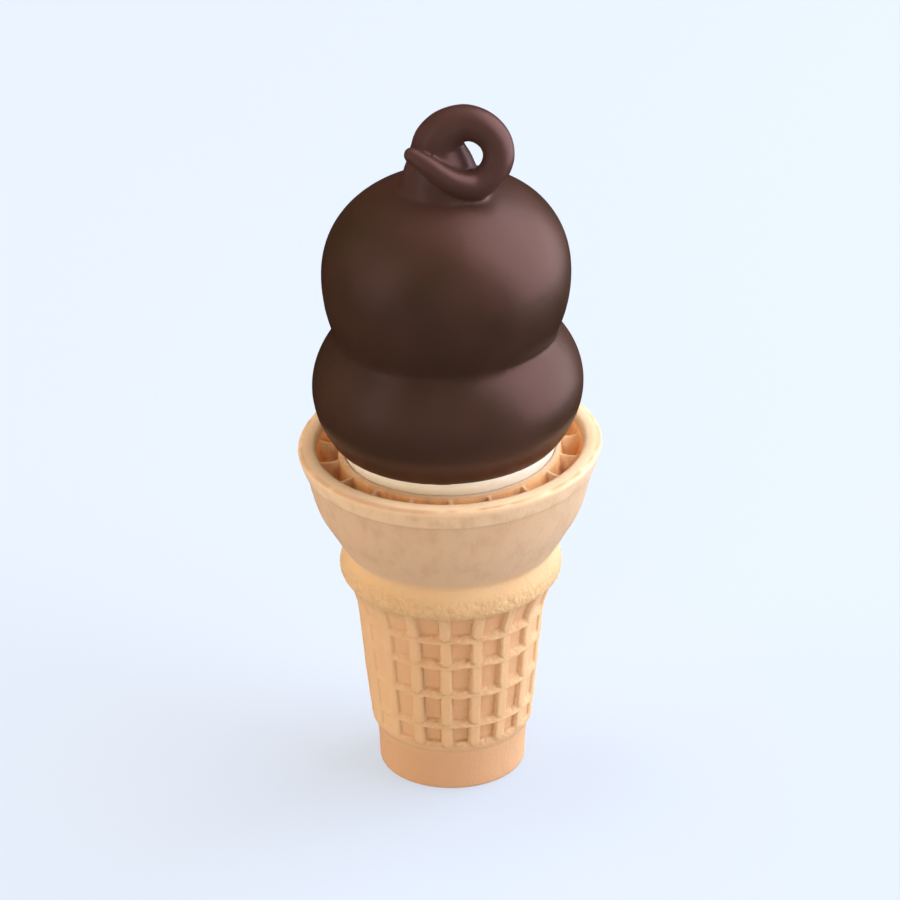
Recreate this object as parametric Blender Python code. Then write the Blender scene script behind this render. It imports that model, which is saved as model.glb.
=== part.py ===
"""A dipped soft serve cone that stands on its flat base.

Three solids: the moulded wafer cone, the soft serve in its cup, and the chocolate coat
with its looped curl. Blender works in metres with +Z up; the sizes below are millimetres.
The base rests on z = 0 and the cone's axis is the Z axis. The front faces -Y.
"""
import math

import bmesh
import bpy
from mathutils import Vector

MM = 0.001
GAP = 0.3                      # clearance between two solids that touch in the real food

# Wafer cone: plain foot, waffle lattice, collar, bowl and rim
BASE_RADIUS = 16.1
BASE_ROUNDING = 0.7
FOOT_TOP_RADIUS = 16.7
FOOT_TOP = 9.2
LATTICE_RADIUS_BELOW = 17.9    # over the bars, at the lowest ledge
LATTICE_RADIUS_ABOVE = 20.7    # over the bars, at the ledge under the collar
LEDGE_LIPS = (12.3, 16.8, 25.0, 32.9, 39.5, 47.0)
LEDGE_SLOPE_HEIGHT = 1.65
LOWEST_SLOPE_HEIGHT = 0.4
LIP_UNDERSIDE = 0.35
RELIEF_DEPTH = 1.15
BAR_COUNT = 18
BAR_TOP_WIDTH = 1.9
BAR_FOOT_WIDTH = 3.2
BAR_PHASE = math.radians(-94.0)
COLLAR_LIP_RADIUS = 23.1
COLLAR_RADIUS = 24.4
COLLAR_MIDDLE = 49.6
COLLAR_TOP = 54.5
COLLAR_TOP_RADIUS = 23.0
BOWL_STEP_HEIGHT = 74.3
BOWL_STEP_RADIUS = 31.5
RIM_RADIUS = 33.2
RIM_WIDEST_HEIGHT = 78.3
RIM_TOP = 79.4
RIM_INNER_RADIUS = 29.4

# Drip moat inside the rim: thin ribs that stand between the rim and the cup
RIB_COUNT = 18
RIB_TOP = 77.7
RIB_TOP_WIDTH = 0.9
RIB_FOOT_WIDTH = 1.4
MOAT_OUTER_RADIUS = 29.0
MOAT_FLOOR = 71.3
MOAT_FLOOR_OUTER_RADIUS = 27.2
CUP_OUTER_RADIUS = 24.1
CUP_TOP = 78.1
CUP_INNER_RADIUS = 23.2
CUP_FLOOR = 56.0
CUP_FLOOR_RADIUS = 20.0

# Soft serve: two stacked turns, each a half-ellipse above and below its widest line
LOWER_TURN_RADIUS = 29.4
LOWER_TURN_HEIGHT = 93.5
LOWER_TURN_RISE = 21.7
LOWER_TURN_DROP = 22.5
UPPER_TURN_RADIUS = 26.9
UPPER_TURN_HEIGHT = 120.2
UPPER_TURN_RISE = 21.9
UPPER_TURN_DROP = 28.5
DOME_FULLNESS = 2.2            # 2 is an ellipse, more is fuller
COAT_EDGE = 81.4               # lower edge of the chocolate
COAT_EDGE_THICKNESS = 0.8
COAT_THICKNESS = 1.8
COAT_EDGE_TAPER = 5.0
LEAN = 0.021                   # rise of the upper part towards +X, as a slope
LEAN_START = 50.0
LEAN_FULL = 78.0

# Curl: a neck drawn up from the dome, one loop, and a tail laid across the neck
LOOP_CENTRE = (4.4, 149.9)
LOOP_HALF_WIDTH = 6.7
LOOP_HALF_HEIGHT = 5.9
LOOP_FORWARD = 7.2             # how far the loop comes forward on its way down
NECK_POINTS = ((-1.0, 0.0, 138.4, 10.8), (-1.5, 0.0, 143.0, 8.6), (-1.7, 0.2, 146.4, 7.3),
               (-2.0, 0.3, 149.6, 5.9))
TAIL_POINTS = ((2.3, -8.1, 145.4, 2.6), (-0.7, -8.4, 147.2, 2.4), (-4.0, -7.5, 149.4, 2.0),
               (-7.6, -5.6, 151.2, 1.65))
LOOP_ANGLES = (158, 128, 94, 60, 26, -8, -42, -76)
LOOP_TUBE_RADII = (4.9, 4.4, 3.9, 3.6, 3.4, 3.3, 3.2, 3.1)

# Mesh fineness
TURN_COLUMNS = 40
CAVITY_COLUMNS = 30
TUBE_SIDES = 10
TUBE_STEPS_PER_POINT = 2


def clear_scene():
    for thing in list(bpy.data.objects):
        bpy.data.objects.remove(thing, do_unlink=True)


def principled(name, colour, roughness):
    material = bpy.data.materials.new(name)
    material.use_nodes = True
    shader = material.node_tree.nodes["Principled BSDF"]
    shader.inputs["Base Color"].default_value = (*colour, 1.0)
    shader.inputs["Roughness"].default_value = roughness
    shader.inputs["Metallic"].default_value = 0.0
    return material


def ramp(value, start, end):
    """0 below start, 1 above end, smooth between."""
    share = min(1.0, max(0.0, (value - start) / (end - start)))
    return share * share * (3.0 - 2.0 * share)


def leaned(x, y, z):
    """The moulded rim and all above it stand a little askew on the stem."""
    return Vector((x, y, z + LEAN * x * ramp(z, LEAN_START, LEAN_FULL))) * MM


def build_object(name, mesh, material):
    thing = bpy.data.objects.new(name, mesh)
    bpy.context.scene.collection.objects.link(thing)
    if material is not None:
        mesh.materials.append(material)
        mesh.shade_smooth()
        mesh.set_sharp_from_angle(angle=math.radians(35.0))
    return thing


def mark_cutter(thing):
    thing.hide_render = True
    thing.display_type = "WIRE"


def join_rings(bm, lower, upper):
    count = len(lower)
    for i in range(count):
        j = (i + 1) % count
        bm.faces.new((lower[i], lower[j], upper[j], upper[i]))


def close_ring(bm, ring, centre, facing_up):
    tip = bm.verts.new(centre)
    count = len(ring)
    for i in range(count):
        j = (i + 1) % count
        corners = (ring[i], ring[j], tip) if facing_up else (ring[j], ring[i], tip)
        bm.faces.new(corners)


def turned_mesh(name, rows, angles, setback=None):
    """A closed turned body. Rows of (radius, height, relief) run from the bottom's centre
    round the outside to the top's centre; relief is cut back where setback(angle) is 1."""
    bm = bmesh.new()
    rings = []
    for radius, height, relief in rows:
        ring = []
        for angle in angles:
            cut = relief * setback(angle) if setback else 0.0
            x = (radius - cut) * math.cos(angle)
            y = (radius - cut) * math.sin(angle)
            ring.append(bm.verts.new(leaned(x, y, height)))
        rings.append(ring)
    for lower, upper in zip(rings, rings[1:]):
        join_rings(bm, lower, upper)
    close_ring(bm, rings[0], leaned(0.0, 0.0, rows[0][1]), facing_up=False)
    close_ring(bm, rings[-1], leaned(0.0, 0.0, rows[-1][1]), facing_up=True)
    mesh = bpy.data.meshes.new(name)
    bm.to_mesh(mesh)
    bm.free()
    return mesh


def even_angles(count):
    return [math.tau * i / count for i in range(count)]


def add_boolean(thing, operation, other, self_crossing=False):
    modifier = thing.modifiers.new(operation.lower(), "BOOLEAN")
    modifier.operation = operation
    modifier.solver = "EXACT"
    modifier.object = other
    modifier.use_self = self_crossing


# ---------------------------------------------------------------- wafer cone

def bar_half_angles():
    middle_radius = 0.5 * (LATTICE_RADIUS_BELOW + LATTICE_RADIUS_ABOVE)
    return 0.5 * BAR_TOP_WIDTH / middle_radius, 0.5 * BAR_FOOT_WIDTH / middle_radius


def wafer_angles():
    """Four columns for each bar: its two feet and the two edges of its flat front."""
    top, foot = bar_half_angles()
    angles = []
    for i in range(BAR_COUNT):
        middle = BAR_PHASE + math.tau * i / BAR_COUNT
        angles += [middle - foot, middle - top, middle + top, middle + foot]
    return angles


def between_bars(angle):
    """1 on the lattice's floor and 0 on a bar's flat front."""
    pitch = math.tau / BAR_COUNT
    off = abs((angle - BAR_PHASE + 0.5 * pitch) % pitch - 0.5 * pitch)
    top, foot = bar_half_angles()
    return 1.0 if off > 0.5 * (top + foot) else 0.0


def lattice_radius(height):
    """Radius over the bars; the topmost row flares out under the collar."""
    below, flare, lip = LEDGE_LIPS[0], LEDGE_LIPS[-2], LEDGE_LIPS[-1]
    slope = (LATTICE_RADIUS_ABOVE - LATTICE_RADIUS_BELOW) / (flare - below)
    if height <= flare:
        return LATTICE_RADIUS_BELOW + slope * (height - below)
    share = (height - flare) / (lip - flare)
    return LATTICE_RADIUS_ABOVE + (COLLAR_LIP_RADIUS - LATTICE_RADIUS_ABOVE) * share ** 1.3


def lattice_rows():
    """From ledge to ledge: lip, sloped ledge top, window, and the next lip's underside."""
    rows = []
    for i, lip in enumerate(LEDGE_LIPS[:-1]):
        slope = LOWEST_SLOPE_HEIGHT if i == 0 else LEDGE_SLOPE_HEIGHT
        back = lip + slope
        under = LEDGE_LIPS[i + 1] - LIP_UNDERSIDE
        rows.append((lattice_radius(lip), lip, 0.0))
        rows.append((lattice_radius(back), back, RELIEF_DEPTH))
        rows.append((lattice_radius(under), under, RELIEF_DEPTH))
    return rows


def wafer_rows():
    foot = [(BASE_RADIUS - BASE_ROUNDING, 0.0), (BASE_RADIUS, BASE_ROUNDING),
            (FOOT_TOP_RADIUS, FOOT_TOP), (LATTICE_RADIUS_BELOW - 0.3, LEDGE_LIPS[0] - 1.2)]
    collar = [(COLLAR_LIP_RADIUS, LEDGE_LIPS[-1]), (COLLAR_RADIUS - 0.2, COLLAR_MIDDLE - 1.4),
              (COLLAR_RADIUS, COLLAR_MIDDLE), (COLLAR_RADIUS - 0.5, COLLAR_MIDDLE + 2.3),
              (COLLAR_TOP_RADIUS, COLLAR_TOP)]
    bowl = [(26.4, 60.0), (28.65, 64.0), (29.9, 67.5), (BOWL_STEP_RADIUS - 0.5, 72.2),
            (BOWL_STEP_RADIUS, BOWL_STEP_HEIGHT), (BOWL_STEP_RADIUS + 0.5, BOWL_STEP_HEIGHT + 0.3)]
    rim = [(RIM_RADIUS, RIM_WIDEST_HEIGHT), (RIM_RADIUS - 0.4, RIM_TOP - 0.3),
           (RIM_INNER_RADIUS, RIM_TOP), (MOAT_OUTER_RADIUS, RIB_TOP)]
    cup = [(CUP_OUTER_RADIUS + 0.1, RIB_TOP), (CUP_OUTER_RADIUS, CUP_TOP),
           (CUP_INNER_RADIUS, CUP_TOP), (CUP_FLOOR_RADIUS, CUP_FLOOR)]
    plain = [[(radius, height, 0.0) for radius, height in stretch]
             for stretch in (foot, collar, bowl, rim, cup)]
    return plain[0] + lattice_rows() + plain[1] + plain[2] + plain[3] + plain[4]


def moat_cutter():
    """One tapered wedge for each cell between two ribs."""
    bm = bmesh.new()
    pitch = math.tau / RIB_COUNT
    levels = ((MOAT_FLOOR, CUP_OUTER_RADIUS + 0.8, MOAT_FLOOR_OUTER_RADIUS, RIB_FOOT_WIDTH),
              (RIB_TOP + 1.0, CUP_OUTER_RADIUS + 0.25, MOAT_OUTER_RADIUS - 0.1, RIB_TOP_WIDTH))
    for i in range(RIB_COUNT):
        middle = math.radians(-90.0) + pitch * (i + 0.5)
        rings = []
        for height, inner, outer, rib_width in levels:
            ring = []
            for radius, order in ((inner, (1, 0, -1)), (outer, (-1, 0, 1))):
                half = 0.5 * pitch - 0.5 * rib_width / radius
                for side in order:
                    angle = middle + side * half
                    x = radius * math.cos(angle)
                    y = radius * math.sin(angle)
                    ring.append(bm.verts.new(leaned(x, y, height)))
            rings.append(ring)
        join_rings(bm, rings[0], rings[1])
        bm.faces.new(tuple(reversed(rings[0])))
        bm.faces.new(tuple(rings[1]))
    mesh = bpy.data.meshes.new("moat_cells")
    bm.to_mesh(mesh)
    bm.free()
    thing = build_object("moat_cells", mesh, None)
    mark_cutter(thing)
    return thing


def build_wafer_cone():
    biscuit = principled("wafer", (0.66, 0.40, 0.20), 0.75)
    mesh = turned_mesh("wafer_cone", wafer_rows(), wafer_angles(), between_bars)
    cone = build_object("wafer_cone", mesh, biscuit)
    add_boolean(cone, "DIFFERENCE", moat_cutter())


# ---------------------------------------------------------------- soft serve and coat

def turn_radius(height, radius, middle, rise, drop, fullness):
    """Radius of one turn of soft serve at a height; 0 outside it."""
    above = height > middle
    share = (height - middle) / rise if above else (middle - height) / drop
    power = fullness if above else 2.0
    return radius * max(0.0, 1.0 - share ** power) ** (1.0 / power)


def coat_radius(height):
    lower = turn_radius(height, LOWER_TURN_RADIUS, LOWER_TURN_HEIGHT,
                        LOWER_TURN_RISE, LOWER_TURN_DROP, 2.0)
    upper = turn_radius(height, UPPER_TURN_RADIUS, UPPER_TURN_HEIGHT,
                        UPPER_TURN_RISE, UPPER_TURN_DROP, DOME_FULLNESS)
    return max(lower, upper)


def coat_thickness(height):
    grown = ramp(height, COAT_EDGE, COAT_EDGE + COAT_EDGE_TAPER)
    return COAT_EDGE_THICKNESS + (COAT_THICKNESS - COAT_EDGE_THICKNESS) * grown


def turn_heights(start, crease, top, lower_steps, upper_steps):
    """Heights that crowd towards the dome's top, with one at the crease."""
    heights = [start + (crease - start) * i / lower_steps for i in range(lower_steps)]
    for i in range(upper_steps):
        angle = 0.5 * math.pi * i / upper_steps
        heights.append(crease + (top - crease) * math.sin(angle))
    return heights


def crease_height():
    """Where the two turns cross, found by halving."""
    low, high = LOWER_TURN_HEIGHT, UPPER_TURN_HEIGHT
    for _ in range(40):
        middle = 0.5 * (low + high)
        lower = turn_radius(middle, LOWER_TURN_RADIUS, LOWER_TURN_HEIGHT,
                            LOWER_TURN_RISE, LOWER_TURN_DROP, 2.0)
        if coat_radius(middle) > lower:
            high = middle
        else:
            low = middle
    return 0.5 * (low + high)


def inner_rows(inset_extra, top_inset, start, lower_steps, upper_steps):
    """Rows of a body that follows the coat's inner face at a distance."""
    top = UPPER_TURN_HEIGHT + UPPER_TURN_RISE - top_inset
    scale = (top - UPPER_TURN_HEIGHT) / UPPER_TURN_RISE
    rows = []
    for height in turn_heights(start, crease_height(), top - 0.2, lower_steps, upper_steps):
        outer_height = height
        if height > UPPER_TURN_HEIGHT:
            outer_height = UPPER_TURN_HEIGHT + (height - UPPER_TURN_HEIGHT) / scale
        inset = coat_thickness(height) + inset_extra
        radius = coat_radius(outer_height) * (UPPER_TURN_RADIUS - inset) / UPPER_TURN_RADIUS
        if height < crease_height() + 1.0:
            radius = coat_radius(height) - inset
        rows.append((radius, height, 0.0))
    return rows


def build_soft_serve():
    cream = principled("soft_serve", (0.78, 0.64, 0.50), 0.55)
    plug = [(CUP_FLOOR_RADIUS - GAP, CUP_FLOOR + GAP, 0.0),
            (CUP_INNER_RADIUS - GAP, CUP_TOP + 0.2, 0.0)]
    shown = inner_rows(GAP, COAT_THICKNESS + GAP, COAT_EDGE - 0.6, 5, 6)
    mesh = turned_mesh("soft_serve", plug + shown, even_angles(CAVITY_COLUMNS))
    build_object("soft_serve", mesh, cream)


def build_cavity():
    rows = inner_rows(0.0, COAT_THICKNESS, COAT_EDGE - 0.6, 5, 6)
    mesh = turned_mesh("coat_cavity", rows, even_angles(CAVITY_COLUMNS))
    thing = build_object("coat_cavity", mesh, None)
    mark_cutter(thing)
    return thing


def curl_stations():
    """Points of the curl as (centre, tube radius): neck, loop by formula, tail."""
    stations = [(Vector(point[:3]), point[3]) for point in NECK_POINTS]
    for degrees, radius in zip(LOOP_ANGLES, LOOP_TUBE_RADII):
        angle = math.radians(degrees)
        x = LOOP_CENTRE[0] + LOOP_HALF_WIDTH * math.cos(angle)
        y = -LOOP_FORWARD * max(0.0, (90.0 - degrees) / 180.0)
        z = LOOP_CENTRE[1] + LOOP_HALF_HEIGHT * math.sin(angle)
        stations.append((Vector((x, y, z)), radius))
    stations += [(Vector(point[:3]), point[3]) for point in TAIL_POINTS]
    return stations


def smoothed(stations, steps):
    """Catmull-Rom through the stations, with the radius carried along."""
    last = len(stations) - 1
    result = []
    for i in range(last):
        around = [stations[max(0, min(last, i + k))] for k in (-1, 0, 1, 2)]
        for step in range(steps):
            t = step / steps
            weights = (-0.5 * t + t * t - 0.5 * t ** 3, 1.0 - 2.5 * t * t + 1.5 * t ** 3,
                       0.5 * t + 2.0 * t * t - 1.5 * t ** 3, 0.5 * t ** 3 - 0.5 * t * t)
            centre = Vector((0.0, 0.0, 0.0))
            radius = 0.0
            for weight, (point, thick) in zip(weights, around):
                centre += weight * point
                radius += weight * thick
            result.append((centre, radius))
    result.append(stations[-1])
    return result


def rounded_end(path):
    """Three shrinking rings past the tail's last point, for its round nub."""
    (before, _), (end, radius) = path[-2], path[-1]
    onward = (end - before).normalized()
    extra = []
    for degrees in (35.0, 65.0, 82.0):
        angle = math.radians(degrees)
        extra.append((end + onward * radius * math.sin(angle), radius * math.cos(angle)))
    return path + extra


def build_curl():
    path = rounded_end(smoothed(curl_stations(), TUBE_STEPS_PER_POINT))
    bm = bmesh.new()
    side = Vector((1.0, 0.0, 0.0))
    rings = []
    for i, (centre, radius) in enumerate(path):
        ahead = path[min(i + 1, len(path) - 1)][0]
        behind = path[max(i - 1, 0)][0]
        along = (ahead - behind).normalized()
        side = (side - along * side.dot(along)).normalized()
        other = along.cross(side)
        ring = []
        for j in range(TUBE_SIDES):
            angle = math.tau * j / TUBE_SIDES
            point = centre + radius * (math.cos(angle) * side + math.sin(angle) * other)
            ring.append(bm.verts.new(leaned(*point)))
        rings.append(ring)
    for lower, upper in zip(rings, rings[1:]):
        join_rings(bm, lower, upper)
    bm.faces.new(tuple(reversed(rings[0])))
    bm.faces.new(tuple(rings[-1]))
    mesh = bpy.data.meshes.new("curl_tube")
    bm.to_mesh(mesh)
    bm.free()
    thing = build_object("curl_tube", mesh, None)
    mark_cutter(thing)
    return thing


def build_chocolate_dip():
    chocolate = principled("chocolate", (0.055, 0.028, 0.017), 0.4)
    heights = turn_heights(COAT_EDGE, crease_height(), UPPER_TURN_HEIGHT + UPPER_TURN_RISE - 0.1,
                           7, 10)
    rows = [(coat_radius(height), height, 0.0) for height in heights]
    mesh = turned_mesh("chocolate_dip", rows, even_angles(TURN_COLUMNS))
    coat = build_object("chocolate_dip", mesh, chocolate)
    add_boolean(coat, "UNION", build_curl(), self_crossing=True)
    add_boolean(coat, "DIFFERENCE", build_cavity())


clear_scene()
build_wafer_cone()
build_soft_serve()
build_chocolate_dip()
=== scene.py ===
# %% [markdown]
# # A chocolate-dipped soft serve cone
#
# Soft serve comes out of the machine as a thick rope. It is wound in two turns on a
# moulded wafer cone, pulled up to a tip, turned upside down and dipped in melted coating.
# The real food therefore has three pieces: the wafer, the soft serve and the coat, and
# this lesson makes them in that order. The sizes are millimetres, as a mould maker would
# write them, and `MM` turns them into Blender's metres.

# %% Load the fixed frame
import math

import bmesh
import bpy
import numpy as np
from mathutils import Matrix, Vector, noise


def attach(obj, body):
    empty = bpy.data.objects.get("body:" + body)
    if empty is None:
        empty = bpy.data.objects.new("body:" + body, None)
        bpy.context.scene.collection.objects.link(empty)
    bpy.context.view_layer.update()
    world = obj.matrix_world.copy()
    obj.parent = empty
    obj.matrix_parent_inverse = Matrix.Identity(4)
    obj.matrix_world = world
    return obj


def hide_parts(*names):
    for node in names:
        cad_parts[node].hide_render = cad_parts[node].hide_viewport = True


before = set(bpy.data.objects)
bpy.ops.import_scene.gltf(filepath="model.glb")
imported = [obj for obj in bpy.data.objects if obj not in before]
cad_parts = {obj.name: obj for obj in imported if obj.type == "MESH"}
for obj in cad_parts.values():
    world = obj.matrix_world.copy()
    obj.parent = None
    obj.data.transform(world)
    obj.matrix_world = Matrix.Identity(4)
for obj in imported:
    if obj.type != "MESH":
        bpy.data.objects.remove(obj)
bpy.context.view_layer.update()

MM = 0.001

# %% [markdown]
# ## The camera
#
# A product shot of a cone is taken from well back with a long lens, so that its sides
# hardly converge. The camera looks down by a little under thirty degrees, which shows
# the moat inside the rim. It is placed first, so that every later step can be looked at.

# %% Place the camera
CAMERA_ELEVATION = math.radians(28.3)
CAMERA_DISTANCE = 1.5
CAMERA_LENS = 274.6
CAMERA_ROLL = math.radians(-0.55)
AIM_HEIGHT = 76.7


def place_camera():
    aim = Vector((0.0, 0.0, AIM_HEIGHT * MM))
    back = Vector((0.0, -math.cos(CAMERA_ELEVATION), math.sin(CAMERA_ELEVATION)))
    lens = bpy.data.cameras.new("camera")
    lens.lens = CAMERA_LENS
    lens.sensor_width = 36.0
    lens.shift_x = 0.0003
    lens.clip_end = 20.0
    camera = bpy.data.objects.new("camera", lens)
    bpy.context.scene.collection.objects.link(camera)
    camera.location = aim + CAMERA_DISTANCE * back
    facing = (-back).to_track_quat("-Z", "Y").to_matrix()
    camera.rotation_euler = (facing @ Matrix.Rotation(CAMERA_ROLL, 3, "Z")).to_euler()
    bpy.context.scene.camera = camera


place_camera()

# %% [markdown]
# ## Shared helpers
#
# Everything here but the curl is a turned shape, so one function makes them all: it takes
# a grid of radii and heights, one row for each ring, and closes it at both ends. Because
# the rows may carry different values round the circle, the same grid also holds the
# lattice, the ribs and the unevenness of hand-made food.

# %% Turned grids
LEAN = 0.021
LEAN_START = 50.0
LEAN_FULL = 78.0


def ease(value, start, end):
    """0 before start, 1 after end, smooth between; works on arrays."""
    share = np.clip((value - start) / (end - start), 0.0, 1.0)
    return share * share * (3.0 - 2.0 * share)


def leaned(points):
    """The rim and all above it stand a little askew on the stem."""
    lifted = np.array(points, float)
    lifted[..., 2] += LEAN * lifted[..., 0] * ease(lifted[..., 2], LEAN_START, LEAN_FULL)
    return lifted


def object_from(name, points, faces):
    mesh = bpy.data.meshes.new(name)
    mesh.from_pydata((points * MM).tolist(), [], faces)
    mesh.validate()
    thing = bpy.data.objects.new(name, mesh)
    bpy.context.scene.collection.objects.link(thing)
    mesh.shade_smooth()
    return thing


def ring_faces(rows, columns):
    """Quads between each ring and the next, and a fan at each end."""
    faces = []
    for i in range(rows - 1):
        for j in range(columns):
            k = (j + 1) % columns
            low, high = i * columns, (i + 1) * columns
            faces.append((low + j, low + k, high + k, high + j))
    first, last = rows * columns, rows * columns + 1
    top = (rows - 1) * columns
    for j in range(columns):
        k = (j + 1) % columns
        faces.append((k, j, first))
        faces.append((top + j, top + k, last))
    return faces


def turned(name, radii, heights, angles, shift=(0.0, 0.0)):
    """A closed turned body from grids of radii and heights, bottom ring first."""
    rows, columns = radii.shape
    x = radii * np.cos(angles) + shift[0]
    y = radii * np.sin(angles) + shift[1]
    grid = np.stack((x, y, heights), axis=-1).reshape(-1, 3)
    ends = [(shift[0], shift[1], heights[0].mean()), (shift[0], shift[1], heights[-1].mean())]
    points = leaned(np.vstack((grid, ends)))
    return object_from(name, points, ring_faces(rows, columns))


def circle(columns, start=-90.0):
    return np.radians(start) + math.tau * np.arange(columns) / columns


def unevenness(points, size, seed):
    """Smooth noise from -1 to 1 at each point, with features of about the given size."""
    shift = Vector((seed * 3.7, seed * 1.3, seed * 2.9))
    flat = points.reshape(-1, 3) / size
    values = [noise.noise(Vector(point) + shift) for point in flat]
    return np.array(values).reshape(points.shape[:-1])


def report(thing):
    mesh = thing.data
    mesh.calc_loop_triangles()
    print(thing.name, "triangles:", len(mesh.loop_triangles))


# %% [markdown]
# ## The wafer cone: its profile
#
# A flat-bottomed wafer is baked in a split mould. From the floor up it has a plain foot,
# a stem with a waffle lattice, a bead-like collar, a bowl, and a thick rim. Inside the rim
# lies a moat that catches drips, and inside that the cup. The profile is one line that
# runs up the outside, over the rim, through the moat and down into the cup, so the wafer
# stays one closed piece. Each stretch gets as many rings as its detail needs.

# %% Sizes of the wafer
BASE_RADIUS = 16.1
FOOT_TOP_RADIUS = 16.7
FOOT_TOP = 9.4
LATTICE_RADIUS_BELOW = 17.9
LATTICE_RADIUS_ABOVE = 20.7
LEDGE_LIPS = (12.3, 16.8, 25.0, 32.9, 39.5, 47.0)
COLLAR_LIP_RADIUS = 23.1
COLLAR_RADIUS = 24.4
COLLAR_MIDDLE = 49.6
COLLAR_TOP = 54.5
RIM_RADIUS = 33.2
RIM_TOP = 79.4
RIM_INNER_RADIUS = 29.4
RIB_TOP = 77.7
CUP_TOP = 78.1
CUP_OUTER_RADIUS = 24.1
CUP_INNER_RADIUS = 23.2
CUP_FLOOR = 56.0
CUP_FLOOR_RADIUS = 20.0


def smooth_line(corners, count):
    """A Catmull-Rom line through a few (radius, height) corners, evenly spaced."""
    corners = np.array(corners, float)
    padded = np.vstack((2 * corners[0] - corners[1], corners, 2 * corners[-1] - corners[-2]))
    fine = []
    for i in range(len(corners) - 1):
        a, b, c, d = padded[i:i + 4]
        for t in np.linspace(0.0, 1.0, 24, endpoint=False):
            fine.append(0.5 * (2 * b + (c - a) * t + (2 * a - 5 * b + 4 * c - d) * t * t
                               + (3 * b - a - 3 * c + d) * t ** 3))
    fine = np.array(fine + [corners[-1]])
    along = np.concatenate(([0.0], np.cumsum(np.linalg.norm(np.diff(fine, axis=0), axis=1))))
    wanted = np.linspace(0.0, along[-1], count)
    return np.stack([np.interp(wanted, along, fine[:, k]) for k in (0, 1)], axis=-1)


def lattice_radius(height):
    """Radius over the bars; the topmost row flares out under the collar."""
    below, flare, lip = LEDGE_LIPS[0], LEDGE_LIPS[-2], LEDGE_LIPS[-1]
    straight = LATTICE_RADIUS_BELOW + (LATTICE_RADIUS_ABOVE - LATTICE_RADIUS_BELOW) * (
        (height - below) / (flare - below))
    share = np.clip((height - flare) / (lip - flare), 0.0, 1.0)
    flared = LATTICE_RADIUS_ABOVE + (COLLAR_LIP_RADIUS - LATTICE_RADIUS_ABOVE) * share ** 1.3
    return np.where(height <= flare, straight, flared)


def wafer_profile():
    """(radius, height) of every ring, and how many rings lie before the moat."""
    base = smooth_line([(4.0, 0.0), (BASE_RADIUS - 0.9, 0.0)], 3)
    foot = smooth_line([(BASE_RADIUS - 0.7, 0.0), (BASE_RADIUS - 0.15, 0.2), (BASE_RADIUS, 0.8),
                        (16.3, 5.0), (FOOT_TOP_RADIUS, FOOT_TOP), (17.35, 10.6),
                        (17.8, 11.5)], 26)
    lattice_heights = np.linspace(LEDGE_LIPS[0] - 0.5, LEDGE_LIPS[-1], 112)
    lattice = np.stack((lattice_radius(lattice_heights), lattice_heights), axis=-1)
    collar = smooth_line([(COLLAR_LIP_RADIUS + 0.35, LEDGE_LIPS[-1] + 0.3),
                          (COLLAR_RADIUS - 0.25, COLLAR_MIDDLE - 1.5),
                          (COLLAR_RADIUS, COLLAR_MIDDLE), (COLLAR_RADIUS - 0.4, COLLAR_MIDDLE + 2.2),
                          (COLLAR_RADIUS - 1.2, COLLAR_TOP - 0.5)], 18)
    bowl = smooth_line([(COLLAR_RADIUS - 1.35, COLLAR_TOP), (23.5, COLLAR_TOP + 0.7),
                        (24.9, 57.3), (26.4, 60.0), (28.65, 64.0), (29.9, 67.5), (30.9, 71.6),
                        (31.4, 74.0)], 26)
    band = smooth_line([(31.5, 74.3), (32.05, 74.75), (32.5, 76.0), (33.0, 77.6),
                        (RIM_RADIUS, 78.4), (RIM_RADIUS - 0.25, 79.0)], 12)
    top = smooth_line([(RIM_RADIUS - 0.7, 79.25), (31.4, RIM_TOP + 0.05), (30.2, RIM_TOP + 0.05),
                       (RIM_INNER_RADIUS + 0.1, RIM_TOP - 0.15), (RIM_INNER_RADIUS - 0.1, 78.8),
                       (29.15, RIB_TOP)], 9)
    moat = smooth_line([(29.0, RIB_TOP - 0.2), (28.6, 75.4), (28.1, 73.2), (27.4, 71.8),
                        (26.3, 71.3), (25.3, 71.8), (24.8, 73.2), (24.5, 75.4),
                        (24.3, RIB_TOP - 0.2)], 16)
    cup = smooth_line([(24.15, RIB_TOP + 0.1), (23.95, CUP_TOP - 0.05), (23.6, CUP_TOP),
                       (CUP_INNER_RADIUS, CUP_TOP - 0.1)], 5)
    well = smooth_line([(CUP_INNER_RADIUS - 0.05, 77.4), (CUP_FLOOR_RADIUS, CUP_FLOOR),
                        (6.0, CUP_FLOOR)], 4)
    outside = (base, foot, lattice, collar, bowl, band, top)
    rings_before_moat = sum(len(stretch) for stretch in outside)
    return np.vstack((*outside, moat, cup, well)), rings_before_moat, len(moat)


profile, moat_start, moat_rings = wafer_profile()
print("wafer rings:", len(profile))

# %% [markdown]
# ## The wafer cone: lattice, ribs and crumb
#
# The lattice could be cut with hundreds of small Boolean boxes. A relief is simpler: for
# every point the script asks how far it lies from the nearest bar and ledge, and sinks the
# surface where both are far away. A bar ends in a round tongue on the ledge below it, and
# each ledge slopes out to a lip. The mould opens sideways, so the relief is deepest where
# the two halves face and shallow near the parting lines. The moat's ribs are made the same
# way, by lifting the moat's floor where a rib stands.

# %% Lattice relief
WAFER_COLUMNS = 432
BAR_COUNT = 18
BAR_PHASE = -94.0
BAR_HALF_WIDTH = 1.0
BAR_SIDE = 0.6                 # width of a bar's rounded side
TONGUE_END = 0.9
LOWEST_TONGUE_END = -0.3
LEDGE_SLOPE_HEIGHT = 2.1
LOWEST_SLOPE_HEIGHT = 0.6
RELIEF_DEPTH = 1.35
SHOULDER_SETBACK = 0.35        # the foot's shoulder lies this share of the relief behind the bars
PARTING_AZIMUTH = -165.0
PARTING_RELIEF = 0.24


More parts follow.
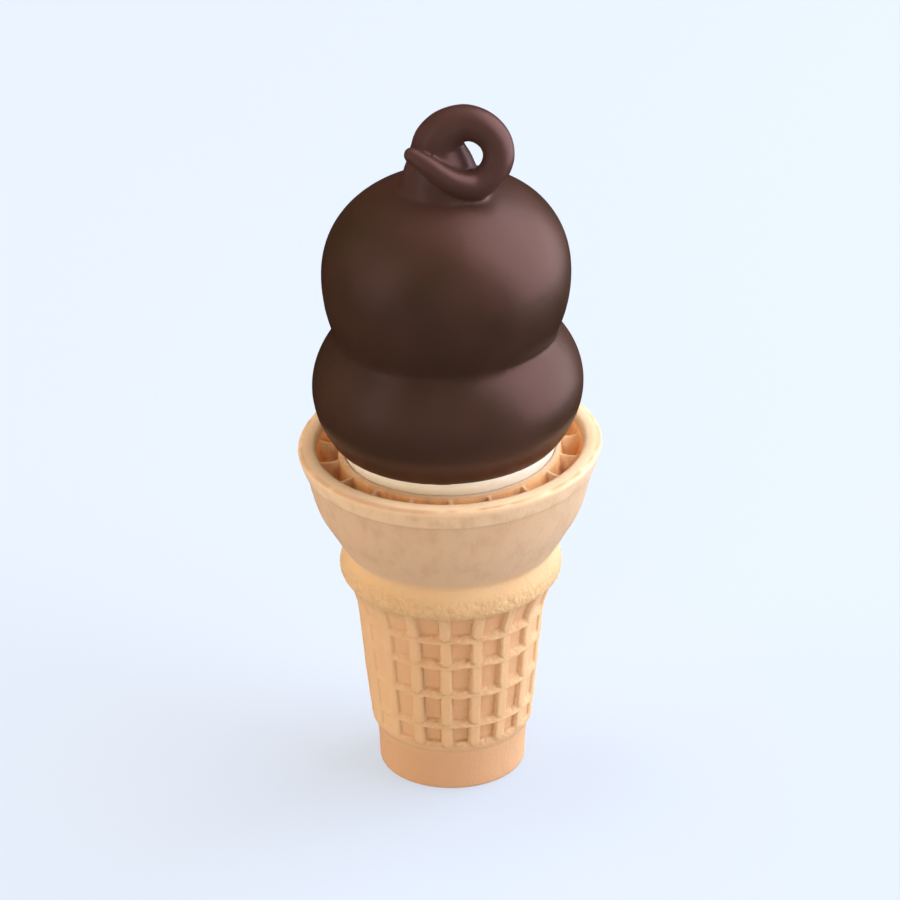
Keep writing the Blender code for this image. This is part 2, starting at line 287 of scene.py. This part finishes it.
def off_nearest(angles, phase, count):
    """Signed angle from the nearest of count evenly spaced directions."""
    pitch = math.tau / count
    start = math.radians(phase)
    return (angles - start + 0.5 * pitch) % pitch - 0.5 * pitch


def lattice_relief(radii, heights, angles, wobble):
    """How deep the surface is sunk at each point, and how much it stands out at lips."""
    sunk = np.zeros_like(radii)
    proud = np.zeros_like(radii)
    arc = np.abs(off_nearest(angles, BAR_PHASE, BAR_COUNT)) * radii
    for i, lip in enumerate(LEDGE_LIPS[:-1]):
        lowest = i == 0
        above = heights - lip - 0.25 * wobble
        below_next = LEDGE_LIPS[i + 1] - heights + 0.25 * wobble
        tongue_end = LOWEST_TONGUE_END if lowest else TONGUE_END
        end_drop = np.clip(tongue_end + BAR_HALF_WIDTH - above, 0.0, None)
        bar_distance = np.hypot(arc, end_drop) - BAR_HALF_WIDTH
        off_bar = ease(bar_distance, 0.0, BAR_SIDE)
        slope = LOWEST_SLOPE_HEIGHT if lowest else LEDGE_SLOPE_HEIGHT
        off_ledge = np.clip((above - 0.25) / (slope - 0.25), 0.0, 1.0)
        if lowest:
            off_ledge = np.maximum(off_ledge, SHOULDER_SETBACK * ease(above, -1.0, -0.2))
        off_lip_above = ease(below_next, 0.1, 0.42)
        inside = (above > (-1.0 if lowest else -0.05)) & (below_next > 0.0)
        depth = np.minimum(np.minimum(off_bar, off_ledge), off_lip_above)
        sunk = np.where(inside, np.maximum(sunk, depth), sunk)
        bead = np.exp(-((above - 0.15) / 0.38) ** 2)
        proud += bead * (0.0 if lowest else 0.2)
    return sunk, proud


def relief_by_direction(angles):
    """1 where the mould halves face, least at the parting lines."""
    facing = np.abs(np.sin(angles - math.radians(PARTING_AZIMUTH)))
    return PARTING_RELIEF + (1.0 - PARTING_RELIEF) * ease(facing, 0.35, 0.95)


# %% Ribs of the moat
RIB_COUNT = 18
RIB_PHASE = -90.0
RIB_HALF_WIDTH = 0.4
RIB_SAG = 0.75


def ribbed_heights(radii, heights, angles):
    """Lift the moat's rings where a rib stands; a rib's top sags between its ends."""
    arc = np.abs(off_nearest(angles, RIB_PHASE, RIB_COUNT)) * radii
    middle = 0.5 * (CUP_OUTER_RADIUS + RIM_INNER_RADIUS)
    half = 0.5 * (RIM_INNER_RADIUS - CUP_OUTER_RADIUS)
    sag = RIB_SAG * np.clip(1.0 - ((radii - middle) / half) ** 2, 0.0, 1.0)
    on_rib = 1.0 - ease(arc, RIB_HALF_WIDTH, RIB_HALF_WIDTH + 0.22)
    return heights + (RIB_TOP - 0.1 - sag - heights) * on_rib


# %% Make the wafer
def paint_value(thing, name, grid):
    """Store one number for each point, for the finish to read; the two end points get 0."""
    values = np.concatenate((grid.ravel(), [0.0, 0.0])).astype(np.float32)
    layer = thing.data.attributes.new(name, "FLOAT", "POINT")
    layer.data.foreach_set("value", values)


def make_wafer():
    angles = circle(WAFER_COLUMNS)
    radii = np.repeat(profile[:, :1], WAFER_COLUMNS, axis=1)
    heights = np.repeat(profile[:, 1:], WAFER_COLUMNS, axis=1)
    around = np.broadcast_to(angles, radii.shape)
    points = np.stack((radii * np.cos(around), radii * np.sin(around), heights), axis=-1)
    wobble = unevenness(points, 2.6, seed=1)
    fine = unevenness(points, 0.9, seed=2)
    broad = unevenness(points, 14.0, seed=3)

    outside = np.arange(len(profile))[:, None] < moat_start
    sunk, proud = lattice_relief(radii, heights, around, wobble)
    stem = outside & (heights < LEDGE_LIPS[-1] + 0.2)
    sunk = np.where(stem, sunk, 0.0)
    facing = relief_by_direction(around)
    on_slopes = np.where(stem, 4.0 * sunk * (1.0 - sunk), 0.0)
    on_collar = ease(heights, 44.0, 47.0) * (1.0 - ease(heights, 50.5, 53.0))
    rough = 0.03 + 0.1 * on_collar + 0.08 * on_slopes
    off_base = ease(heights, 0.3, 2.0)
    change = -RELIEF_DEPTH * facing * sunk + np.where(stem, proud * facing, 0.0)
    change += off_base * (0.12 * broad + 0.05 * wobble + rough * fine)
    radii = np.where(outside, radii + change, radii)

    moat = (np.arange(len(profile)) >= moat_start) & (np.arange(len(profile)) < moat_start + moat_rings)
    ribbed = ribbed_heights(radii, heights, around)
    lift = ribbed - heights
    heights = np.where(moat[:, None], ribbed, heights)
    rim_zone = outside & (heights > 74.0)
    heights = heights + np.where(rim_zone | ~outside, 0.1 * broad * ease(heights, 60.0, 78.0), 0.0)

    cone = turned("wafer_cone_baked", radii, heights, angles)
    on_rim_edge = np.exp(-((heights - RIM_TOP + 0.25) / 0.16) ** 2) * (radii > 32.2)
    # the deep window floors get a darker colour: part real browning, part painted shade in the recesses
    paint_value(cone, "window_browning_and_shade", ease(sunk, 0.55, 0.95) * facing)
    paint_value(cone, "crumbly", np.clip(on_slopes * facing + on_collar, 0.0, 1.0))
    # moat colour: partly its browned orange, partly a painted glow for light shining through the thin
    # rim; weaker on the rib tops
    paint_value(cone, "moat", np.where(moat[:, None], 1.0 - 0.6 * ease(lift, 1.0, 3.0), 0.0))
    paint_value(cone, "rim_edge", on_rim_edge * outside * ease(wobble + broad, -0.7, 0.2))
    return cone


wafer = make_wafer()
report(wafer)

# %% [markdown]
# ## The soft serve
#
# Between the coat and the cup a narrow band of the soft serve itself is seen. The piece
# still runs on: down to the cup's floor and up inside the coat, as a real one does. Its
# two turns are half-ellipses, joined by a smooth maximum so that the crease between them
# is rounded, as soft serve settles.

# %% Sizes and outline of the two turns
LOWER_TURN = {"radius": 29.4, "middle": 93.5, "rise": 21.7, "drop": 22.5, "fullness": 2.0}
UPPER_TURN = {"radius": 26.9, "middle": 120.2, "rise": 21.9, "drop": 28.5, "fullness": 2.2}
CREASE_ROUNDING = 1.5
COAT_EDGE = 81.4
COAT_EDGE_THICKNESS = 0.8
COAT_THICKNESS = 1.8
COAT_EDGE_TAPER = 5.0
GAP = 0.3
TURNS_SHIFT = (-0.35, 0.0)     # the turns sit a little to the left of the cone's axis


def turn_radius(heights, turn):
    rising = np.clip((heights - turn["middle"]) / turn["rise"], 0.0, 1.0)
    falling = np.clip((turn["middle"] - heights) / turn["drop"], 0.0, 1.0)
    upper = (1.0 - rising ** turn["fullness"]) ** (1.0 / turn["fullness"])
    lower = np.sqrt(1.0 - falling ** 2)
    return turn["radius"] * np.where(heights > turn["middle"], upper, lower)


def coat_radius(heights, rounding=CREASE_ROUNDING):
    low = turn_radius(heights, LOWER_TURN)
    high = turn_radius(heights, UPPER_TURN)
    both = np.minimum(low, high) > 0.0
    soft = 0.5 * (low + high + np.sqrt((low - high) ** 2 + rounding ** 2))
    return np.where(both, soft, np.maximum(low, high))


def coat_thickness(heights):
    grown = ease(heights, COAT_EDGE, COAT_EDGE + COAT_EDGE_TAPER)
    return COAT_EDGE_THICKNESS + (COAT_THICKNESS - COAT_EDGE_THICKNESS) * grown


def inner_outline(inset_extra, start, count):
    """(radius, height) of a body that follows the coat's inner face."""
    top = UPPER_TURN["middle"] + UPPER_TURN["rise"] - COAT_THICKNESS - inset_extra
    share = np.linspace(0.0, 1.0, count)
    heights = start + (top - start) * np.sin(0.5 * math.pi * share)
    middle = UPPER_TURN["middle"]
    stretched = np.where(heights > middle,
                         middle + (heights - middle) * UPPER_TURN["rise"] / (top - middle), heights)
    inset = coat_thickness(heights) + inset_extra
    radii = coat_radius(stretched) - inset
    shrunk = coat_radius(stretched) * (1.0 - inset / UPPER_TURN["radius"])
    radii = np.where(heights > middle, shrunk, radii)
    return np.stack((np.clip(radii, 0.3, None), heights), axis=-1)


# %% Make the soft serve
CORE_COLUMNS = 192


def make_soft_serve():
    angles = circle(CORE_COLUMNS)
    plug = smooth_line([(CUP_FLOOR_RADIUS - GAP, CUP_FLOOR + GAP),
                        (CUP_INNER_RADIUS - GAP, 77.0)], 8)
    band = smooth_line([(CUP_INNER_RADIUS - 0.25, 77.6), (23.25, 78.6), (23.7, 79.8),
                        (24.0, 81.0)], 9)
    inside = inner_outline(GAP, COAT_EDGE + 0.2, 60)
    outline = np.vstack((plug, band, inside))
    radii = np.repeat(outline[:, :1], CORE_COLUMNS, axis=1)
    heights = np.repeat(outline[:, 1:], CORE_COLUMNS, axis=1)
    points = np.stack((radii * np.cos(angles), radii * np.sin(angles), heights), axis=-1)
    shown = ease(heights, 77.8, 79.0) * (1.0 - ease(heights, 80.0, 81.3))
    radii = radii + 0.09 * shown * unevenness(points, 5.0, seed=5)
    return turned("soft_serve_core", radii, heights, angles)


soft_serve = make_soft_serve()
report(soft_serve)

# %% [markdown]
# ## The chocolate coat and its curl
#
# The tip of the soft serve falls over while it is drawn off: a thick neck rises from the
# dome, makes one loop and its tail comes to lie across the neck. The coat covers all of
# it and fills the sharp corners. A Boolean union would leave hard seams, so the dome and
# the curl are put into one mesh, wrapped with a voxel remesh and smoothed a little. A last
# Boolean hollows the coat out to its real thickness.

# %% Route of the curl
LOOP_CENTRE = (4.4, 149.9)
LOOP_HALF_WIDTH = 6.7
LOOP_HALF_HEIGHT = 5.9
LOOP_FORWARD = 7.2
NECK_POINTS = ((-0.8, 0.0, 137.0, 12.4), (-1.2, 0.0, 140.6, 10.2), (-1.5, 0.0, 143.4, 8.5),
               (-1.7, 0.2, 146.4, 7.4), (-2.0, 0.3, 149.6, 6.1))
TAIL_POINTS = ((2.3, -8.1, 145.4, 2.7), (-0.7, -8.4, 147.2, 2.4), (-4.0, -7.5, 149.4, 2.1),
               (-7.6, -5.6, 151.2, 1.75))
LOOP_ANGLES = (158, 128, 94, 60, 26, -8, -42, -76)
LOOP_TUBE_RADII = (5.1, 4.5, 4.0, 3.7, 3.5, 3.4, 3.3, 3.2)


def curl_stations():
    """(x, y, z, tube radius) along the curl: neck, one loop by formula, tail."""
    stations = list(NECK_POINTS)
    for degrees, radius in zip(LOOP_ANGLES, LOOP_TUBE_RADII):
        angle = math.radians(degrees)
        x = LOOP_CENTRE[0] + LOOP_HALF_WIDTH * math.cos(angle)
        y = -LOOP_FORWARD * max(0.0, (90.0 - degrees) / 180.0)
        z = LOOP_CENTRE[1] + LOOP_HALF_HEIGHT * math.sin(angle)
        stations.append((x, y, z, radius))
    return np.array(stations + list(TAIL_POINTS), float)


def smooth_route(stations, steps):
    padded = np.vstack((2 * stations[0] - stations[1], stations, 2 * stations[-1] - stations[-2]))
    route = []
    for i in range(len(stations) - 1):
        a, b, c, d = padded[i:i + 4]
        for t in np.linspace(0.0, 1.0, steps, endpoint=False):
            route.append(0.5 * (2 * b + (c - a) * t + (2 * a - 5 * b + 4 * c - d) * t * t
                                + (3 * b - a - 3 * c + d) * t ** 3))
    route.append(stations[-1])
    return np.array(route)


def with_round_end(route):
    """Shrinking rings past the last point, for the tail's round nub."""
    onward = route[-1, :3] - route[-2, :3]
    onward /= np.linalg.norm(onward)
    radius = route[-1, 3]
    extra = []
    for degrees in range(15, 90, 12):
        angle = math.radians(degrees)
        centre = route[-1, :3] + onward * radius * math.sin(angle)
        extra.append((*centre, radius * math.cos(angle)))
    return np.vstack((route, extra))


# %% Sweep the curl's tube
CURL_SIDES = 40


def make_curl():
    route = with_round_end(smooth_route(curl_stations(), 8))
    side = np.array((1.0, 0.0, 0.0))
    turns = circle(CURL_SIDES)
    rings = []
    for i in range(len(route)):
        along = route[min(i + 1, len(route) - 1), :3] - route[max(i - 1, 0), :3]
        along /= np.linalg.norm(along)
        side = side - along * side.dot(along)
        side /= np.linalg.norm(side)
        other = np.cross(along, side)
        radius = route[i, 3]
        rings.append(route[i, :3] + radius * (np.cos(turns)[:, None] * side
                                              + np.sin(turns)[:, None] * other))
    grid = np.array(rings).reshape(-1, 3)
    points = leaned(np.vstack((grid, route[0, :3], route[-1, :3])))
    return object_from("curl_tube", points, ring_faces(len(route), CURL_SIDES))


# %% Wrap the dome and the curl in one skin
COAT_COLUMNS = 200
COAT_ROWS = 110
SKIN_VOXEL = 0.55
SKIN_SMOOTHING = 6


def make_dome():
    angles = circle(COAT_COLUMNS)
    top = UPPER_TURN["middle"] + UPPER_TURN["rise"]
    share = np.linspace(0.0, 1.0, COAT_ROWS)
    line = COAT_EDGE + (top - 0.02 - COAT_EDGE) * np.sin(0.5 * math.pi * share)
    heights = np.repeat(line[:, None], COAT_COLUMNS, axis=1)
    around = np.broadcast_to(angles, heights.shape)
    rounding = CREASE_ROUNDING - 0.9 * np.cos(around)
    radii = coat_radius(heights, rounding)
    fade = 1.0 - ease(heights, 134.0, 141.0)
    sway = 0.16 * np.sin(2 * around + 0.7) + 0.1 * np.sin(3 * around + heights / 12.0)
    radii = radii + sway * fade * ease(heights, COAT_EDGE, 90.0)
    return turned("dome", radii, heights, angles, TURNS_SHIFT)


def evaluated_copy(thing, name):
    graph = bpy.context.evaluated_depsgraph_get()
    mesh = bpy.data.meshes.new_from_object(thing.evaluated_get(graph))
    mesh.name = name
    copy = bpy.data.objects.new(name, mesh)
    bpy.context.scene.collection.objects.link(copy)
    return copy


def make_coat():
    parts = (make_dome(), make_curl())
    bm = bmesh.new()
    for part in parts:
        bm.from_mesh(part.data)
    both = bpy.data.meshes.new("dome_and_curl")
    bm.to_mesh(both)
    bm.free()
    body = bpy.data.objects.new("dome_and_curl", both)
    bpy.context.scene.collection.objects.link(body)

    wrap = body.modifiers.new("wrap", "REMESH")
    wrap.mode = "VOXEL"
    wrap.voxel_size = SKIN_VOXEL * MM
    wrap.adaptivity = 0.0
    relax = body.modifiers.new("relax", "SMOOTH")
    relax.factor = 0.5
    relax.iterations = SKIN_SMOOTHING

    outline = inner_outline(0.0, COAT_EDGE - 1.5, 40)
    angles = circle(120)
    hollow = turned("coat_hollow", np.repeat(outline[:, :1], 120, axis=1),
                    np.repeat(outline[:, 1:], 120, axis=1), angles, TURNS_SHIFT)
    cut = body.modifiers.new("hollow", "BOOLEAN")
    cut.operation = "DIFFERENCE"
    cut.solver = "EXACT"
    cut.object = hollow

    coat = evaluated_copy(body, "chocolate_coat")
    for helper in (*parts, body, hollow):
        bpy.data.objects.remove(helper, do_unlink=True)
    coat.data.shade_smooth()
    coat.data.set_sharp_from_angle(angle=math.radians(50.0))
    return coat


coat = make_coat()
report(coat)

# %% [markdown]
# ## Finishes
#
# All three finishes are built from nodes. Two helpers keep them readable: `tone` turns the
# usual 0 to 255 colour values into the linear ones that shaders need, and `Finish` holds a
# material, with one short call for each kind of node. The patterns are placed by object
# coordinates, so they stay fixed to the food from every side.

# %% Node helpers
def tone(red, green, blue):
    """Linear colour from ordinary 0-255 screen values."""
    channels = []
    for value in (red, green, blue):
        share = value / 255.0
        channels.append(share / 12.92 if share <= 0.04045 else ((share + 0.055) / 1.055) ** 2.4)
    return (*channels, 1.0)


class Finish:
    """A material with short calls for the nodes used here."""

    def __init__(self, name, roughness):
        self.material = bpy.data.materials.new(name)
        self.material.use_nodes = True
        self.nodes = self.material.node_tree.nodes
        self.links = self.material.node_tree.links
        self.shader = self.nodes["Principled BSDF"]
        self.shader.inputs["Roughness"].default_value = roughness
        self.place = self.nodes.new("ShaderNodeTexCoord").outputs["Object"]

    def set_input(self, socket, value):
        if isinstance(value, bpy.types.NodeSocket):
            self.links.new(value, socket)
        else:
            socket.default_value = value

    def noise(self, scale, detail=3.0, stretch=(1.0, 1.0, 1.0), roughness=0.55):
        mapping = self.nodes.new("ShaderNodeMapping")
        mapping.inputs["Scale"].default_value = stretch
        self.links.new(self.place, mapping.inputs["Vector"])
        node = self.nodes.new("ShaderNodeTexNoise")
        self.links.new(mapping.outputs["Vector"], node.inputs["Vector"])
        node.inputs["Scale"].default_value = scale
        node.inputs["Detail"].default_value = detail
        node.inputs["Roughness"].default_value = roughness
        return node.outputs["Fac"]

    def pores(self, scale):
        node = self.nodes.new("ShaderNodeTexVoronoi")
        self.links.new(self.place, node.inputs["Vector"])
        node.inputs["Scale"].default_value = scale
        return node.outputs["Distance"]

    def spread(self, value, low, high, to_low=0.0, to_high=1.0):
        node = self.nodes.new("ShaderNodeMapRange")
        node.interpolation_type = "SMOOTHSTEP"
        self.set_input(node.inputs["Value"], value)
        node.inputs["From Min"].default_value = low
        node.inputs["From Max"].default_value = high
        node.inputs["To Min"].default_value = to_low
        node.inputs["To Max"].default_value = to_high
        return node.outputs["Result"]

    def blend(self, share, first, second):
        node = self.nodes.new("ShaderNodeMix")
        node.data_type = "RGBA"
        self.set_input(node.inputs["Factor"], share)
        self.set_input(node.inputs["A"], first)
        self.set_input(node.inputs["B"], second)
        return [socket for socket in node.outputs if socket.type == "RGBA"][0]

    def sums(self, operation, first, second):
        node = self.nodes.new("ShaderNodeMath")
        node.operation = operation
        self.set_input(node.inputs[0], first)
        self.set_input(node.inputs[1], second)
        return node.outputs["Value"]

    def painted(self, name, share):
        """A value stored on the mesh by paint_value, times a share."""
        node = self.nodes.new("ShaderNodeAttribute")
        node.attribute_name = name
        return self.sums("MULTIPLY", node.outputs["Fac"], share)

    def height(self):
        node = self.nodes.new("ShaderNodeSeparateXYZ")
        self.links.new(self.place, node.inputs["Vector"])
        return node.outputs["Z"]

    def bump(self, height, depth, under=None):
        node = self.nodes.new("ShaderNodeBump")
        node.inputs["Strength"].default_value = 1.0
        node.inputs["Distance"].default_value = depth * MM
        self.links.new(height, node.inputs["Height"])
        if under is not None:
            self.links.new(under, node.inputs["Normal"])
        return node.outputs["Normal"]


# %% [markdown]
# ## The wafer's finish
#
# A baked wafer is matt and finely porous. Where the batter is thick it stays pale, and in
# the lattice's windows and the moat it browns. The colour is laid up in steps: height on
# the cone, with the rim's top painted paler as light from above, then recesses, which also
# carry painted shade in the window floors and a painted glow of light through the thin rim
# in the moat, then large and small mottling. The pores are bump only, because
# they are finer than the mesh.

# %% Wafer finish
FOOT_TONE = tone(200, 146, 102)
STRETCH_TONES = (                          # where each colour begins, where it is full
    (7.5, 13.5, tone(210, 161, 113)),      # stem
    (43.0, 48.0, tone(211, 165, 114)),     # collar
    (53.0, 57.0, tone(197, 157, 119)),     # bowl
    (74.2, 75.0, tone(212, 172, 131)),     # band under the rim
    (78.9, 79.3, tone(232, 190, 143)),     # top of the rim, paler: painted light from above
)


def wafer_finish():
    finish = Finish("wafer_baked", 0.72)
    z = finish.height()
    colour = FOOT_TONE
    for start, full, shade in STRETCH_TONES:
        colour = finish.blend(finish.spread(z, start * MM, full * MM), colour, shade)
    # window floors darker: browning plus painted shade in the recesses
    colour = finish.blend(finish.painted("window_browning_and_shade", 0.7), colour, tone(204, 147, 101))
    # moat: browned orange plus a painted glow for light through the thin rim
    colour = finish.blend(finish.painted("moat", 0.9), colour, tone(255, 190, 120))

    patches = finish.spread(finish.noise(90.0, 3.0), 0.42, 0.70, 0.0, 0.22)
    colour = finish.blend(patches, colour, tone(193, 144, 98))
    on_bowl = finish.sums("MULTIPLY", finish.spread(z, 55.0 * MM, 60.0 * MM),
                          finish.spread(z, 77.0 * MM, 78.5 * MM, 1.0, 0.0))
    streaks = finish.spread(finish.noise(300.0, 4.0, stretch=(1.0, 1.0, 0.5)), 0.42, 0.72, 0.0, 0.5)
    colour = finish.blend(finish.sums("MULTIPLY", streaks, on_bowl), colour, tone(182, 138, 100))
    browned = finish.sums("MULTIPLY", finish.painted("crumbly", 0.45),
                          finish.spread(finish.noise(800.0, 4.0), 0.36, 0.7))
    colour = finish.blend(browned, colour, tone(184, 136, 88))
    colour = finish.blend(finish.painted("rim_edge", 0.7), colour, tone(160, 98, 52))
    finish.set_input(finish.shader.inputs["Base Color"], colour)

    coarse = finish.noise(380.0, 3.0)
    normal = finish.bump(coarse, 0.14)
    crumb = finish.spread(finish.pores(900.0), 0.0, 0.35)
    normal = finish.bump(crumb, 0.05, normal)
    grain = finish.noise(1400.0, 6.0, roughness=0.65)
    normal = finish.bump(grain, 0.09, normal)
    pitted = finish.sums("MULTIPLY", finish.noise(900.0, 3.0), finish.painted("crumbly", 1.0))
    normal = finish.bump(pitted, 0.7, normal)
    finish.set_input(finish.shader.inputs["Normal"], normal)
    finish.shader.inputs["Specular IOR Level"].default_value = 0.2
    finish.shader.inputs["Subsurface Weight"].default_value = 0.2
    finish.shader.inputs["Subsurface Radius"].default_value = (1.0, 0.45, 0.2)
    finish.shader.inputs["Subsurface Scale"].default_value = 1.8 * MM
    return finish.material


wafer.data.materials.append(wafer_finish())

# %% [markdown]
# ## The soft serve's finish
#
# Frozen cream is smooth and lets light in a little, so its edges look soft. Faint mottling
# stands for ice and air bubbles.

# %% Soft serve finish
def cream_finish():
    finish = Finish("soft_serve_cream", 0.5)
    warm = finish.spread(finish.noise(160.0, 3.0), 0.4, 0.7, 0.0, 0.5)
    colour = finish.blend(warm, tone(252, 236, 206), tone(244, 224, 188))
    finish.set_input(finish.shader.inputs["Base Color"], colour)
    finish.set_input(finish.shader.inputs["Normal"], finish.bump(finish.noise(900.0, 4.0), 0.05))
    finish.shader.inputs["Subsurface Weight"].default_value = 0.4
    finish.shader.inputs["Subsurface Radius"].default_value = (1.0, 0.8, 0.6)
    finish.shader.inputs["Subsurface Scale"].default_value = 2.0 * MM
    return finish.material


soft_serve.data.materials.append(cream_finish())

# %% [markdown]
# ## The chocolate's finish
#
# The coat sets in seconds against the frozen core, to a satin surface: no sharp
# reflections, but broad soft highlights. Its brown drifts slightly between olive and red,
# and very shallow waves show where it ran as it set.

# %% Chocolate finish
CURL_SHEEN_START = 134.0             # painted sheen: from here up the curl is painted redder and lighter, for its highlights and light through the thin coat
CURL_SHEEN_FULL = 147.0


def chocolate_finish():
    finish = Finish("chocolate_satin", 0.40)
    drift = finish.spread(finish.noise(38.0, 2.0), 0.35, 0.65)
    colour = finish.blend(drift, tone(51, 33, 20), tone(61, 37, 25))
    # painted sheen: the curl is coloured redder and lighter, standing for its highlights
    curl_sheen = finish.spread(finish.height(), CURL_SHEEN_START * MM, CURL_SHEEN_FULL * MM, 0.0, 0.55)
    colour = finish.blend(curl_sheen, colour, tone(72, 43, 37))
    speck = finish.spread(finish.noise(900.0, 4.0), 0.6, 0.85, 0.0, 0.25)
    colour = finish.blend(speck, colour, tone(52, 34, 24))
    finish.set_input(finish.shader.inputs["Base Color"], colour)
    dull = finish.spread(finish.noise(120.0, 3.0), 0.3, 0.7, 0.37, 0.42)
    finish.set_input(finish.shader.inputs["Roughness"], dull)
    finish.shader.inputs["Specular Tint"].default_value = (1.0, 0.72, 0.70, 1.0)
    waves = finish.bump(finish.noise(110.0, 2.0), 0.16)
    grain = finish.bump(finish.noise(700.0, 3.0), 0.012, waves)
    finish.set_input(finish.shader.inputs["Normal"], grain)
    return finish.material


coat.data.materials.clear()
coat.data.materials.append(chocolate_finish())

# %% [markdown]
# ## Floor and light
#
# The floor is pale and glows a little, like a lit studio table, so that the cone is also
# lit from below. Matt light and gloss light are set apart. Four large lights shade the
# food softly but aren't reflected; two more are seen only as reflections, and draw the
# broad highlights on the chocolate, a strong one at the right and a faint one at the left.
# The world and the floor are left out of reflections too, so the chocolate keeps its depth.

# %% Floor
FLOOR_HALF_SIZE = 4.0          # metres


def make_floor():
    bm = bmesh.new()
    bmesh.ops.create_grid(bm, x_segments=1, y_segments=1, size=FLOOR_HALF_SIZE)
    mesh = bpy.data.meshes.new("floor")
    bm.to_mesh(mesh)
    bm.free()
    floor = bpy.data.objects.new("floor", mesh)
    bpy.context.scene.collection.objects.link(floor)
    paint = bpy.data.materials.new("floor_paint")
    paint.use_nodes = True
    shader = paint.node_tree.nodes["Principled BSDF"]
    shader.inputs["Base Color"].default_value = tone(119, 120, 122)
    shader.inputs["Emission Color"].default_value = tone(233, 241, 253)
    shader.inputs["Emission Strength"].default_value = 0.60
    shader.inputs["Roughness"].default_value = 0.9
    shader.inputs["Specular IOR Level"].default_value = 0.0
    mesh.materials.append(paint)
    floor.visible_glossy = False


make_floor()


# %% Lights
LIGHT_AIM_HEIGHT = 90.0


def soft_box(name, place, size, radiance, colour, seen_by):
    """A rectangular light aimed at the cone, for "matt" shading or "gloss" reflections."""
    light = bpy.data.lights.new(name, "AREA")
    light.shape = "RECTANGLE"
    light.size, light.size_y = size
    light.energy = radiance * math.pi * size[0] * size[1]
    light.color = colour
    box = bpy.data.objects.new(name, light)
    bpy.context.scene.collection.objects.link(box)
    box.location = place
    towards = Vector((0.0, 0.0, LIGHT_AIM_HEIGHT * MM)) - box.location
    box.rotation_euler = towards.to_track_quat("-Z", "Y").to_euler()
    box.visible_glossy = seen_by == "gloss"
    box.visible_diffuse = seen_by == "matt"


def make_world():
    world = bpy.data.worlds.new("studio")
    world.use_nodes = True
    sky = world.node_tree.nodes["Background"]
    sky.inputs["Color"].default_value = (0.95, 0.98, 1.0, 1.0)
    sky.inputs["Strength"].default_value = 0.25
    world.cycles_visibility.glossy = False
    bpy.context.scene.world = world


make_world()
soft_box("right_wall", (1.05, 0.12, 0.6), (2.0, 1.6), 4.9, (0.83, 1.02, 1.38), "matt")
soft_box("right_glow", (1.05, 0.15, 0.7), (2.0, 2.8), 3.0, (1.0, 0.80, 0.86), "gloss")
soft_box("left_wall", (-1.1, 0.1, 0.5), (1.6, 1.2), 2.4, (1.0, 0.98, 0.95), "matt")
soft_box("left_glow", (-0.8, -0.46, 0.35), (0.4, 0.9), 0.8, (0.93, 0.97, 1.0), "gloss")
soft_box("ceiling", (0.0, 0.3, 1.2), (1.0, 1.0), 3.3, (1.0, 1.0, 1.0), "matt")
soft_box("front_fill", (-0.25, -1.17, 0.28), (1.0, 0.6), 3.6, (1.0, 0.98, 0.96), "matt")
bpy.context.scene.view_settings.view_transform = "Standard"
bpy.context.scene.view_settings.look = "None"
print("lights and floor are in place")

# %% [markdown]
# ## Hand the pieces to the frame
#
# Each made piece rides on the one body and stands for its node of the frame.

# %% Ride and replace
PIECES = ((wafer, "wafer_cone", "wafer"),
          (soft_serve, "soft_serve", "soft_serve"),
          (coat, "chocolate_dip", "chocolate"))

for piece, node, slot in PIECES:
    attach(piece, "root")
    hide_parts(node)
